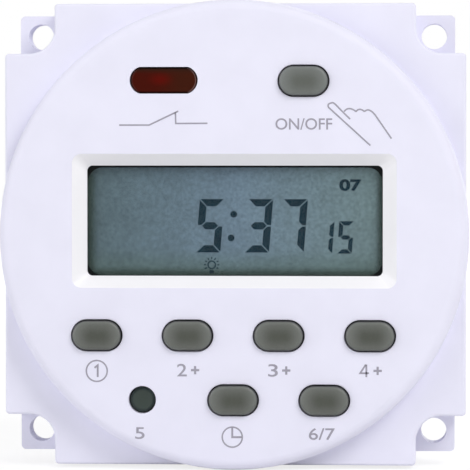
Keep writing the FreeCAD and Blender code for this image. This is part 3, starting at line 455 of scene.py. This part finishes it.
def slab(work, outline, front, back):
    """A flat prism from an outline of (x, z) points, between two y places."""
    near = [work.verts.new((x, front, z)) for x, z in outline]
    far = [work.verts.new((x, back, z)) for x, z in outline]
    work.faces.new(near)
    work.faces.new(list(reversed(far)))
    count = len(outline)
    for i in range(count):
        j = (i + 1) % count
        work.faces.new((near[j], near[i], far[i], far[j]))


def ring(work, outer, inner, front, back):
    """A flat ring between two outlines that have the same number of points."""
    rows = []
    for outline in (outer, inner):
        for y in (front, back):
            rows.append([work.verts.new((x, y, z)) for x, z in outline])
    outer_front, outer_back, inner_front, inner_back = rows
    count = len(outer)
    for i in range(count):
        j = (i + 1) % count
        work.faces.new((outer_front[i], outer_front[j], inner_front[j], inner_front[i]))
        work.faces.new((outer_back[j], outer_back[i], inner_back[i], inner_back[j]))
        work.faces.new((outer_front[j], outer_front[i], outer_back[i], outer_back[j]))
        work.faces.new((inner_front[i], inner_front[j], inner_back[j], inner_back[i]))


def ribbon(work, points, width, front, back, closed=False):
    """A drawn line of even width with mitred corners."""
    sharpest = 0.35
    points = [Vector(p) for p in points]
    count = len(points)
    sides = []
    for i, point in enumerate(points):
        before = points[i - 1] if i or closed else None
        after = points[(i + 1) % count] if i < count - 1 or closed else None
        normals = []
        for start, end in ((before, point), (point, after)):
            if start is not None and end is not None:
                along = (end - start).normalized()
                normals.append(Vector((-along.y, along.x)))
        middle = sum(normals, Vector((0, 0))).normalized()
        reach = width / 2 / max(middle.dot(normals[0]), sharpest)
        sides.append((point + middle * reach, point - middle * reach))
    if closed:
        ring(work, [s[0] for s in sides], [s[1] for s in sides], front, back)
    else:
        for (a, b), (c, d) in zip(sides, sides[1:]):
            slab(work, [a, c, d, b], front, back)


def arc(centre, radius, start, end, steps=24):
    """Points on an arc between two angles in degrees."""
    turns = [math.radians(start + (end - start) * i / steps) for i in range(steps + 1)]
    return [(centre[0] + radius * math.cos(t), centre[1] + radius * math.sin(t)) for t in turns]


def circle(centre, radius, steps=32):
    return arc(centre, radius, 0, 360, steps)[:-1]


def rounded(centre, width, height, radius, steps=8):
    """The outline of a rectangle with round corners."""
    points = []
    places = ((1, 1, 0), (-1, 1, 90), (-1, -1, 180), (1, -1, 270))
    for right, up, start in places:
        middle = (centre[0] + right * (width / 2 - radius), centre[1] + up * (height / 2 - radius))
        points += arc(middle, radius, start, start + 90, steps)
    return points


def smooth(points, steps=6):
    """A soft line through the points."""
    points = [Vector(p) for p in points]
    ends = [points[0] * 2 - points[1]] + points + [points[-1] * 2 - points[-2]]
    line = []
    for a, b, c, d in zip(ends, ends[1:], ends[2:], ends[3:]):
        slope = c - a
        bend = 2 * a - 5 * b + 4 * c - d
        twist = 3 * b - a - 3 * c + d
        for i in range(steps):
            t = i / steps
            line.append(0.5 * (2 * b + slope * t + bend * t**2 + twist * t**3))
    line.append(points[-1])
    return line


def lettering(work, text, left, right, bottom, top, front, back, mirrored=False, bold=0.006):
    """Plain numbers or words, fitted between the given sides."""
    weld = 1e-5
    curve = bpy.data.curves.new("lettering", "FONT")
    curve.body = text
    curve.offset = bold
    shown = bpy.data.objects.new("lettering", curve)
    bpy.context.scene.collection.objects.link(shown)
    bpy.context.view_layer.update()
    mesh = bpy.data.meshes.new_from_object(shown)
    flat = bmesh.new()
    flat.from_mesh(mesh)
    bmesh.ops.remove_doubles(flat, verts=flat.verts, dist=weld)
    xs = [v.co.x for v in mesh.vertices]
    ys = [v.co.y for v in mesh.vertices]
    low_x, low_y = min(xs), min(ys)
    across = (right - left) / (max(xs) - low_x)
    up = (top - bottom) / (max(ys) - low_y)
    near, far = {}, {}
    for vert in flat.verts:
        x = left + (vert.co.x - low_x) * across
        if mirrored:
            x = left + right - x
        z = bottom + (vert.co.y - low_y) * up
        near[vert] = work.verts.new((x, front, z))
        far[vert] = work.verts.new((x, back, z))
    for face in flat.faces:
        corners = [loop.vert for loop in face.loops]
        rim = [(loop.vert, loop.link_loop_next.vert) for loop in face.loops if loop.edge.is_boundary]
        if mirrored:
            corners.reverse()
            rim = [(b, a) for a, b in rim]
        work.faces.new([near[v] for v in corners])
        work.faces.new([far[v] for v in reversed(corners)])
        for a, b in rim:
            work.faces.new((near[b], near[a], far[a], far[b]))
    flat.free()
    bpy.data.objects.remove(shown)
    bpy.data.curves.remove(curve)
    bpy.data.meshes.remove(mesh)


# Camera

camera_distance = 424 * MM
camera_azimuth = math.radians(3.46)
camera_elevation = math.radians(1.52)
camera_lens = 255.4
camera_sensor = 36
camera_near = 10 * MM
aim_x = 0.25 * MM
aim_z = 0.03 * MM
face_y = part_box("front_cover")[0].y
aim = Vector((aim_x, face_y, aim_z))
away = Vector((
    math.sin(camera_azimuth) * math.cos(camera_elevation),
    -math.cos(camera_azimuth) * math.cos(camera_elevation),
    math.sin(camera_elevation),
))
camera_data = bpy.data.cameras.new("camera")
camera_data.lens = camera_lens
camera_data.sensor_width = camera_sensor
camera_data.clip_start = camera_near
camera = bpy.data.objects.new("camera", camera_data)
camera.location = aim + away * camera_distance
camera.rotation_euler = (-away).to_track_quat("-Z", "Y").to_euler()
bpy.context.scene.collection.objects.link(camera)
bpy.context.scene.camera = camera


# Finish of the CAD nodes

def middle_of(node):
    low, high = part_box(node)
    return (low + high) / 2


def dress(node, material):
    """Give a CAD node its material."""
    shown = NODES[node]
    shown.data.materials.clear()
    shown.data.materials.append(material)


made_materials = {}
for node, slot in SLOT_OF.items():
    if slot not in BUILDERS:
        continue
    if slot not in made_materials:
        made_materials[slot] = BUILDERS[slot](slot)
    dress(node, made_materials[slot])

key_reach = 0.086
key_shade = face_y - 0.56 * MM
reset_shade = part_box("reset_key")[0].y + 0.4 * MM
key_grey = key_rubber("key_rubber", srgb(107, 110, 106), srgb(66, 69, 61), key_reach, key_shade)
pale_grey = key_rubber("pale_key_rubber", srgb(115, 119, 117), srgb(84, 88, 82), key_reach, key_shade)
# The reset key sits deep in its hole: its rubber is painted much darker than the other keys, as painted
# shade
reset_shaded_rubber = key_rubber("reset_rubber_painted_shade", srgb(47, 60, 54), srgb(36, 50, 43), 0.0, reset_shade)
for key in KEYS:
    dress(key, {"reset_key": reset_shaded_rubber, "manual_key": pale_grey}.get(key, key_grey))
dress("indicator_lens", lens_material())

window_low, window_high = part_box("display_window")
display_centre = (window_low + window_high) / 2
opening_width = 37.8 * MM
opening_height = 14.1 * MM
opening_radius = 0.7 * MM
opening_low = Vector((display_centre.x - opening_width / 2, 0, display_centre.z - opening_height / 2))
opening_high = Vector((display_centre.x + opening_width / 2, 0, display_centre.z + opening_height / 2))
surround_half = Vector((20.7, 0, 8.55)) * MM
slope_depth = 1.6 * MM
slope_spare = 0.02 * MM
cover_white = cover_plastic(
    display_centre - surround_half, display_centre + surround_half,
    face_y + slope_spare, face_y + slope_depth + slope_spare)
dress("front_cover", cover_white)


# Rubber webs of the keys, standing on their sheet

web_reach = 1.0 * MM
web_corner_steps = 12
web_profile = (  # how far out from the key, and how deep, in millimetres, round the section
    (0.02, -0.15), (0.25, -0.14), (0.42, 0.06), (0.6, 0.42), (0.76, 0.7), (1.0, 0.9),
    (0.7, 0.9), (0.5, 0.74), (0.34, 0.46), (0.2, 0.16), (0.02, 0.1))
web_rubber = made_materials["grey_rubber"]
for key in KEYS:
    web_low, web_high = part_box(key + "_web")
    web_centre = ((web_low.x + web_high.x) / 2, (web_low.z + web_high.z) / 2)
    key_width = web_high.x - web_low.x - 2 * web_reach
    key_height = web_high.z - web_low.z - 2 * web_reach
    work = bmesh.new()
    rows = []
    for out, deep in web_profile:
        width, height = key_width + 2 * out * MM, key_height + 2 * out * MM
        outline = rounded(web_centre, width, height, height / 2, web_corner_steps)
        rows.append([work.verts.new((x, web_low.y + deep * MM, z)) for x, z in outline])
    for row, following in zip(rows, rows[1:] + rows[:1]):
        for i in range(len(row)):
            j = (i + 1) % len(row)
            work.faces.new((row[i], following[i], following[j], row[j])).smooth = True
    web = piece(key + "_skirt", work, web_rubber)
    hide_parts(key + "_web")
    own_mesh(web)


# Dark ring round the window's rim, seen at its rounded corners and along its top: a painted shadow, for the
# shade in the gap round the window

shadow_ring_corner = 1.9 * MM
shadow_ring_top = 0.2 * MM
shadow_ring_gap = 0.02 * MM
shadow_ring_side = 0.05 * MM
shadow_ring_front = window_low.y - 0.06 * MM
shadow_ring_back = window_low.y - 0.01 * MM
outer = rounded((display_centre.x, display_centre.z), opening_width - 2 * shadow_ring_gap,
                opening_height - 2 * shadow_ring_gap, opening_radius)
inner = rounded((display_centre.x, display_centre.z - shadow_ring_top / 2), opening_width - 2 * shadow_ring_side,
                opening_height - 2 * shadow_ring_side - shadow_ring_top, shadow_ring_corner)
work = bmesh.new()
ring(work, outer, inner, shadow_ring_front, shadow_ring_back)
# Dark paint that stands in for the shadow in the gap round the window
rim_shadow_paint = ink("rim_shadow_paint", srgb(20, 24, 24), srgb(14, 17, 17))
piece("window_rim_shadow", work, rim_shadow_paint)


# Display ground, bonded to the window, and the segments on it

film_low, film_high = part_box("lcd_polariser")
film_centre = (film_low + film_high) / 2
film_bond = 0.02 * MM
film_corner = 0.3 * MM
film_front = film_low.y - film_bond
film_outline = rounded((film_centre.x, film_centre.z), film_high.x - film_low.x,
                       film_high.z - film_low.z, film_corner)
work = bmesh.new()
slab(work, film_outline, film_front, film_high.y)
display_ground = piece("display_ground", work, panel_material(opening_low, opening_high))
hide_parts("lcd_polariser")

segment_thickness = 0.02 * MM
segment_front = film_front - segment_thickness
segment_back = film_front
slant = math.tan(math.radians(4.5))


def digit(work, lit, left, bottom, width, height, bar, gap):
    """A seven-segment digit, leaning right. Segments a to g start at the top and go clockwise."""
    w, h, t, g = width, height, bar, gap
    m = h / 2
    shapes = {
        "a": [(g, h), (w - g, h), (w - t - g, h - t), (t + g, h - t)],
        "b": [(w, h - g), (w, m + g), (w - t / 2, m + g), (w - t, m + t / 2 + g), (w - t, h - t - g)],
        "c": [(w, m - g), (w, g), (w - t, t + g), (w - t, m - t / 2 - g), (w - t / 2, m - g)],
        "d": [(t + g, t), (w - t - g, t), (w - g, 0), (g, 0)],
        "e": [(0, m - g), (t / 2, m - g), (t, m - t / 2 - g), (t, t + g), (0, g)],
        "f": [(0, h - g), (t, h - t - g), (t, m + t / 2 + g), (t / 2, m + g), (0, m + g)],
        "g": [(t / 2 + g, m), (t + g, m + t / 2), (w - t - g, m + t / 2), (w - t / 2 - g, m),
              (w - t - g, m - t / 2), (t + g, m - t / 2)],
    }
    for name in lit:
        outline = [(left + x + z * slant, bottom + z) for x, z in shapes[name]]
        slab(work, outline, segment_front, segment_back)


THREE, FIVE, SEVEN, ONE = "abgcd", "afgcd", "abc", "bc"
LARGE = {"bottom": -2.28 * MM, "width": 3.15 * MM, "height": 6.83 * MM, "bar": 0.92 * MM, "gap": 0.09 * MM}
SMALL = {"bottom": -2.40 * MM, "width": 1.9 * MM, "height": 4.14 * MM, "bar": 0.54 * MM, "gap": 0.06 * MM}
WEEKDAY = {"left": 13.43 * MM, "right": 16.27 * MM, "bottom": 5.58 * MM, "top": 7.1 * MM, "bold": 0.04}
colon_radius = 0.43 * MM
work = bmesh.new()
for lit, left, size in ((FIVE, -4.96, LARGE), (THREE, 1.28, LARGE), (SEVEN, 5.74, LARGE),
                        (ONE, 10.6, SMALL), (FIVE, 13.12, SMALL)):
    digit(work, lit, left * MM, **size)
for x, z in ((-0.09, 2.62), (-0.42, -0.42)):
    slab(work, circle((x * MM, z * MM), colon_radius), segment_front, segment_back)
lettering(work, "07", front=segment_front, back=segment_back, **WEEKDAY)

lamp_centre = Vector((-2.9, -3.86)) * MM
lamp_radius = 0.48 * MM
lamp_line = 0.16 * MM
ray_line = 0.15 * MM
ray_start = 0.72 * MM
ray_end = 1.0 * MM
foot_drop = 0.9 * MM
foot_width = 0.5 * MM
foot_height = 0.42 * MM
foot_corner = 0.12 * MM
foot = rounded((lamp_centre.x, lamp_centre.y - foot_drop), foot_width, foot_height, foot_corner)
ribbon(work, circle(lamp_centre, lamp_radius), lamp_line, segment_front, segment_back, closed=True)
for turn in range(-30, 211, 30):
    out = Vector((math.cos(math.radians(turn)), math.sin(math.radians(turn))))
    ray = [lamp_centre + out * ray_start, lamp_centre + out * ray_end]
    ribbon(work, ray, ray_line, segment_front, segment_back)
slab(work, foot, segment_front, segment_back)
segment_ink = ink("segment_ink", srgb(16, 44, 56), srgb(10, 34, 46))
piece("display_segments", work, segment_ink)


# Printed marks on the face

ink_thickness = 0.02 * MM
mark_front = face_y - ink_thickness
mark_back = face_y + ink_thickness / 4
mark_width = 0.19 * MM
mark_ink = ink("mark_ink", srgb(167, 164, 176), srgb(159, 156, 168))


def marks(work, points, closed=False, width=mark_width):
    """A printed line on the face."""
    ribbon(work, points, width, mark_front, mark_back, closed)


def words(work, text, left, right, bottom, top):
    """Printed numbers or words on the face."""
    lettering(work, text, left, right, bottom, top, mark_front, mark_back)


def plus(work, x, z, size):
    """A plus sign on the face."""
    half = size / 2
    arm = 0.28 * MM
    outline = [(half, arm / 2), (arm / 2, arm / 2), (arm / 2, half)]
    points = []
    for turn in range(4):
        c, s = math.cos(turn * math.pi / 2), math.sin(turn * math.pi / 2)
        points += [(x + a * c - b * s, z + a * s + b * c) for a, b in outline]
    slab(work, points, mark_front, mark_back)


def four(work, x, z, height, width, front, back, mirror=1):
    """The number 4 as a bent stroke and a stem."""
    top = z + height / 2
    stem = x + mirror * height * 0.16
    low_bar = z - height * 0.19
    bend = [(stem - mirror * width * 0.3, top), (x - mirror * height * 0.33, low_bar),
            (x + mirror * height * 0.36, low_bar)]
    ribbon(work, bend, width, front, back)
    ribbon(work, [(stem, top), (stem, z - height / 2)], width, front, back)


def one(work, x, z, height, width, front, back, mirror=1):
    """The number 1 as a stem with a flag."""
    top = z + height / 2
    flag = (x - mirror * height * 0.26, top - height * 0.24)
    ribbon(work, [flag, (x, top - width / 4), (x, z - height / 2)], width, front, back)


work = bmesh.new()
symbol = middle_of("indicator_lens")
symbol_z = symbol.z - 5.7 * MM
blade_start = symbol.x - 1.85 * MM
blade_end = (symbol.x + 1.87 * MM, symbol_z + 1.77 * MM)
post_x = symbol.x + 1.55 * MM
marks(work, [(symbol.x - 5.67 * MM, symbol_z), (blade_start, symbol_z), blade_end])
marks(work, [(post_x - 0.05 * MM, symbol_z + 1.6 * MM), (post_x, symbol_z + 0.2 * MM),
             (symbol.x + 5.59 * MM, symbol_z + 0.22 * MM)])
piece("switch_symbol", work, mark_ink)

work = bmesh.new()
manual = middle_of("manual_key")
words(work, "ON/OFF", manual.x - 3.55 * MM, manual.x + 3.65 * MM, manual.z - 6.2 * MM, manual.z - 4.75 * MM)
piece("manual_key_word", work, mark_ink)

# The pointing hand, in millimetres across and up

work = bmesh.new()
finger_root = (14.87, 14.75)
finger_tip = (12.47, 16.80)
finger_low = (12.09, 16.28)
palm_end = (17.44, 11.41)
first_gap = (15.62, 15.71)
second_gap = (16.68, 15.71)
wrist = (18.01, 15.32)
cuff = (20.11, 12.28)
hand_lines = (
    smooth([finger_root, (13.8, 15.80), (12.86, 16.74), finger_tip, (12.12, 16.62), finger_low]),
    (finger_low, palm_end),
    smooth([(14.10, 15.71), (14.45, 16.02), (14.85, 16.08), (15.25, 15.95), first_gap]),
    smooth([first_gap, (15.86, 15.93), (16.15, 15.99), (16.45, 15.88), second_gap]),
    smooth([second_gap, (16.95, 15.88), (17.25, 15.90), (17.65, 15.68), wrist]),
    (wrist, cuff),
)
for line in hand_lines:
    marks(work, [Vector(p) * MM for p in line])
piece("pointing_hand", work, mark_ink)

# Numbers and signs by the other keys

work = bmesh.new()
round_steps = 40
row_drop = 3.6 * MM
row_height = 1.6 * MM
digit_half = 0.62 * MM
digit_shift = 0.72 * MM
plus_shift = 0.97 * MM
plus_size = 1.05 * MM
bold_width = 0.24 * MM
four_width = 0.22 * MM
program = middle_of("program_key")
row_top = program.z - row_drop
row_bottom = row_top - row_height
row_middle = (row_bottom + row_top) / 2
ring_x, ring_z = program.x, program.z - 4.55 * MM
ring_radius = 1.34 * MM
ring_shift = 0.12 * MM
ring_height = 1.55 * MM
marks(work, circle((ring_x, ring_z), ring_radius, round_steps), closed=True)
one(work, ring_x + ring_shift, ring_z, ring_height, bold_width, mark_front, mark_back)
for number, key in (("2", "day_key"), ("3", "hour_key"), ("4", "minute_key")):
    middle = middle_of(key)
    digit_x = middle.x - digit_shift
    if number == "4":
        four(work, digit_x, row_middle, row_height, four_width, mark_front, mark_back)
    else:
        words(work, number, digit_x - digit_half, digit_x + digit_half, row_bottom, row_top)
    plus(work, middle.x + plus_shift, row_middle, plus_size)
second_drop = 3.5 * MM
second_height = 1.5 * MM
reset = middle_of("reset_key")
second_top = reset.z - second_drop
second_bottom = second_top - second_height
words(work, "5", reset.x - 0.9 * MM, reset.x + 0.3 * MM, second_bottom, second_top)
cancel = middle_of("cancel_recall_key")
words(work, "6/7", cancel.x - 1.95 * MM, cancel.x + 1.35 * MM, second_bottom, second_top)
clock = middle_of("clock_key")
clock_centre = Vector((clock.x - 0.1 * MM, clock.z - 4.7 * MM))
clock_radius = 1.28 * MM
hand_length = 1.2 * MM
marks(work, circle(clock_centre, clock_radius, round_steps), closed=True)
hands = [clock_centre + Vector((0, hand_length)), clock_centre, clock_centre + Vector((hand_length, 0))]
marks(work, hands, width=bold_width)
piece("key_marks", work, mark_ink)


# Wiring diagram with plain terminal numbers on the rear label

label_low, label_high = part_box("rear_label")
label_middle = (label_low + label_high) / 2
line_front = label_high.y + ink_thickness / 4
line_back = label_high.y - ink_thickness / 2
line_width = 0.28 * MM


def label_line(work, points, closed=False, width=line_width):
    """A printed line on the label."""
    ribbon(work, points, width, line_back, line_front, closed)


label_ink = ink("label_ink", srgb(52, 56, 62), srgb(44, 48, 54))
border = 1.0 * MM
border_corner = 0.8 * MM
border_width = 0.2 * MM
border_line = rounded((label_middle.x, label_middle.z), label_high.x - label_low.x - 2 * border,
                      label_high.z - label_low.z - 2 * border, border_corner)
terminal_step = 7.0 * MM
terminals = [label_middle.x + (1.5 - i) * terminal_step for i in range(4)]
number_z = label_middle.z - 5.6 * MM
number_height = 1.8 * MM
number_half = 0.55 * MM
number_low, number_high = number_z - 0.9 * MM, number_z + 0.9 * MM
label_four_width = 0.26 * MM
wire_start = number_z + 1.6 * MM
pin_centre = wire_start + 0.55 * MM
pin_radius = 0.5 * MM
pin_z = wire_start + 1.05 * MM
bus_z = label_middle.z + 3.2 * MM
work = bmesh.new()
label_line(work, border_line, closed=True, width=border_width)
for i, x in enumerate(terminals):
    if i == 0:
        one(work, x, number_z, number_height, line_width, line_back, line_front, mirror=-1)
    elif i == 3:
        four(work, x, number_z, number_height, label_four_width, line_back, line_front, mirror=-1)
    else:
        lettering(work, str(i + 1), x - number_half, x + number_half, number_low, number_high,
                  line_back, line_front, mirrored=True)
    label_line(work, circle((x, pin_centre), pin_radius), closed=True)
x1, x2, x3, x4 = terminals
drive_reach = 1.9 * MM
drive_width = 3.2 * MM
drive_height = 2.2 * MM
drive_corner = 0.15 * MM
drive = rounded(((x1 + x2) / 2, bus_z), drive_width, drive_height, drive_corner, steps=3)
contact_reach = 2.0 * MM
contact_tip = (x3 - 2.2 * MM, bus_z + 1.6 * MM)
label_line(work, [(x1, pin_z), (x1, bus_z), (x1 - drive_reach, bus_z)])
label_line(work, [(x2, pin_z), (x2, bus_z), (x2 + drive_reach, bus_z)])
label_line(work, drive, closed=True)
label_line(work, [(x3, pin_z), (x3, bus_z), (x3 - contact_reach, bus_z)])
label_line(work, [(x4, pin_z), (x4, bus_z), (x4 + contact_reach, bus_z), contact_tip])
piece("label_diagram", work, label_ink)


# Floor, light and surroundings

def seen_share(tree):
    """1 for the camera, in reflections and through clear pieces, and 0 for light on the object."""
    path = tree.nodes.new("ShaderNodeLightPath")
    share = path.outputs["Is Camera Ray"]
    for kind in ("Is Glossy Ray", "Is Transmission Ray"):
        larger = tree.nodes.new("ShaderNodeMath")
        larger.operation = "MAXIMUM"
        tree.links.new(share, larger.inputs[0])
        tree.links.new(path.outputs[kind], larger.inputs[1])
        share = larger.outputs[0]
    return share


def background(tree, colour, strength):
    """One even light all round."""
    node = tree.nodes.new("ShaderNodeBackground")
    node.inputs["Color"].default_value = colour
    node.inputs["Strength"].default_value = strength
    return node.outputs[0]


WHITE = (1, 1, 1, 1)
world_tint = (0.97, 0.98, 1.0, 1)
world_light = 0.475
world = bpy.data.worlds.new("studio")
bpy.context.scene.world = world
world.use_nodes = True
sky = world.node_tree
sky.nodes.clear()
sky_mix = sky.nodes.new("ShaderNodeMixShader")
sky.links.new(seen_share(sky), sky_mix.inputs[0])
sky.links.new(background(sky, world_tint, world_light), sky_mix.inputs[1])
sky.links.new(background(sky, WHITE, 1.0), sky_mix.inputs[2])
sky_output = sky.nodes.new("ShaderNodeOutputWorld")
sky.links.new(sky_mix.outputs[0], sky_output.inputs["Surface"])

floor_half = 2.0
floor_z = cad_low.z - 0.05 * MM
floor_glow = 1.12
shadow_reach = 0.15
shadow_end = 0.6
glow_near, glow_far = 0.7, 1.0
corners = ((-1, -1), (1, -1), (1, 1), (-1, 1))
work = bmesh.new()
work.faces.new([work.verts.new((x * floor_half, y * floor_half, floor_z)) for x, y in corners])
floor_mesh = bpy.data.meshes.new("floor")
work.to_mesh(floor_mesh)
work.free()
floor = bpy.data.objects.new("floor", floor_mesh)
bpy.context.scene.collection.objects.link(floor)
paper = Maker("floor_paper")
paper.set(Base_Color=paper.grey(paper.vary(paper.noise(40, 3.0), 0.88, 0.9)))
paper.set(Roughness=0.9, Specular_IOR_Level=0.1)
glow = paper.add("ShaderNodeEmission", {"Color": WHITE, "Strength": floor_glow})
place = {0: paper.place.outputs["Object"]}
away_from_object = paper.add("ShaderNodeVectorMath", place, operation="LENGTH").outputs["Value"]
glow_share = paper.spread(away_from_object, shadow_reach, shadow_end, glow_near, glow_far)
paper.blend(paper.calc("MULTIPLY", seen_share(paper.tree), glow_share), paper.shader, glow)
floor_mesh.materials.append(paper.material)


def softbox(name, place, size, power, colour):
    """A square area light that points at the object."""
    data = bpy.data.lights.new(name, "AREA")
    data.shape = "SQUARE"
    data.size = size
    data.energy = power
    data.color = colour
    light = bpy.data.objects.new(name, data)
    light.location = place
    light.rotation_euler = (-Vector(place)).to_track_quat("-Z", "Y").to_euler()
    bpy.context.scene.collection.objects.link(light)


softbox("key_light", place=(0.46, -0.5, 0.56), size=0.34, power=3.38, colour=(1.0, 0.99, 0.98))
softbox("fill_light", place=(-0.7, -0.4, 0.12), size=0.6, power=2.5, colour=(0.99, 0.99, 1.0))
softbox("back_light", place=(0.3, 0.8, 0.32), size=0.7, power=2.8, colour=(1.0, 1.0, 1.0))

bpy.context.scene.view_settings.view_transform = "Standard"
